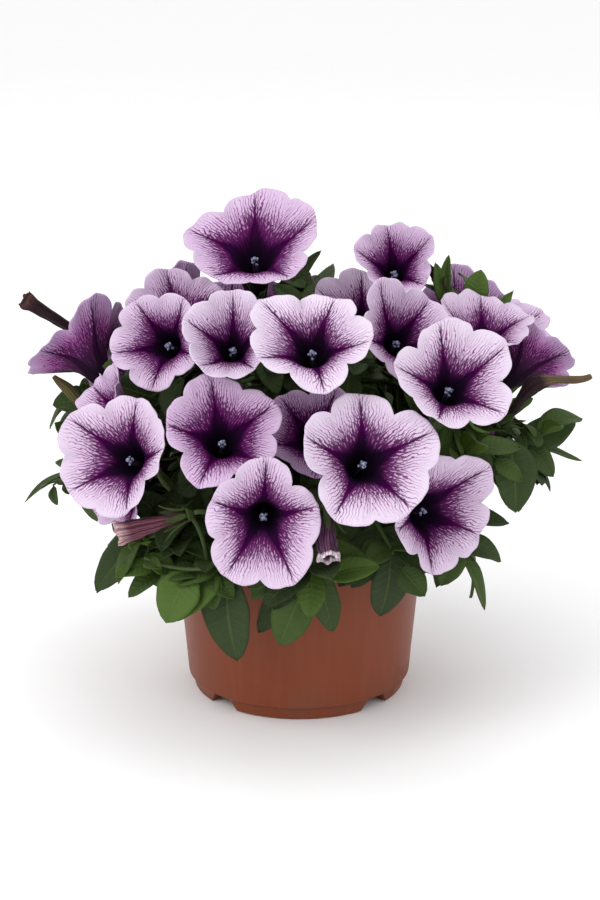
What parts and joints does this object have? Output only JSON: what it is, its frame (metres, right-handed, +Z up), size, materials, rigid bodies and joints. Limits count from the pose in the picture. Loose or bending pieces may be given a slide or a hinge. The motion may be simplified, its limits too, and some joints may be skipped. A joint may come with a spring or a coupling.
{
  "type": "potted petunia",
  "caption": "Mounded petunia with veined funnel flowers on leafy trailing shoots, growing in a plain round plastic pot with notched feet.",
  "frame": {"origin": "on the pot's axis, on the surface that the feet stand on, which is the centre of the bounding box's bottom within 2 mm", "axes": "+Z up along the pot's axis, -Y towards the front of the plant, +X to the right of someone who looks at the front"},
  "size_m": [0.2813, 0.2804, 0.256],
  "materials": {
    "pot": "matte",
    "soil": "rough",
    "foliage": "matte",
    "petal": "matte",
    "withered": "matte"
  },
  "bodies": {
    "root": {"pot": "pot", "soil": "soil", "shoot_01": "foliage", "shoot_02": "foliage", "shoot_03": "foliage", "shoot_04": "foliage", "shoot_05": "foliage", "shoot_06": "foliage", "shoot_07": "foliage", "shoot_08": "foliage", "shoot_09": "foliage", "shoot_10": "foliage", "shoot_11": "foliage", "shoot_12": "foliage", "shoot_13": "foliage", "shoot_14": "foliage", "bloom_01": "petal", "bloom_02": "petal", "bloom_03": "petal", "bloom_04": "petal", "bloom_05": "petal", "bloom_06": "petal", "bloom_07": "petal", "bloom_08": "petal", "bloom_09": "petal", "bloom_10": "petal", "bloom_11": "petal", "bloom_12": "petal", "bloom_13": "petal", "bloom_14": "petal", "bloom_15": "petal", "bloom_16": "petal", "bloom_17": "petal", "bloom_18": "petal", "bloom_19": "petal", "bloom_20": "petal", "bloom_21": "petal", "bloom_22": "petal", "bloom_23": "petal", "bloom_24": "petal", "bloom_25": "petal", "bloom_26": "petal", "bloom_27": "petal", "bloom_28": "petal", "bloom_29": "petal", "bloom_30": "petal", "bloom_31": "petal", "bloom_32": "petal", "withered_left": "withered", "withered_right": "withered", "withered_front": "withered", "bud_front": "withered", "bud_left": "withered", "bud_top": "withered", "bud_back": "withered"}
  },
  "joints": []
}
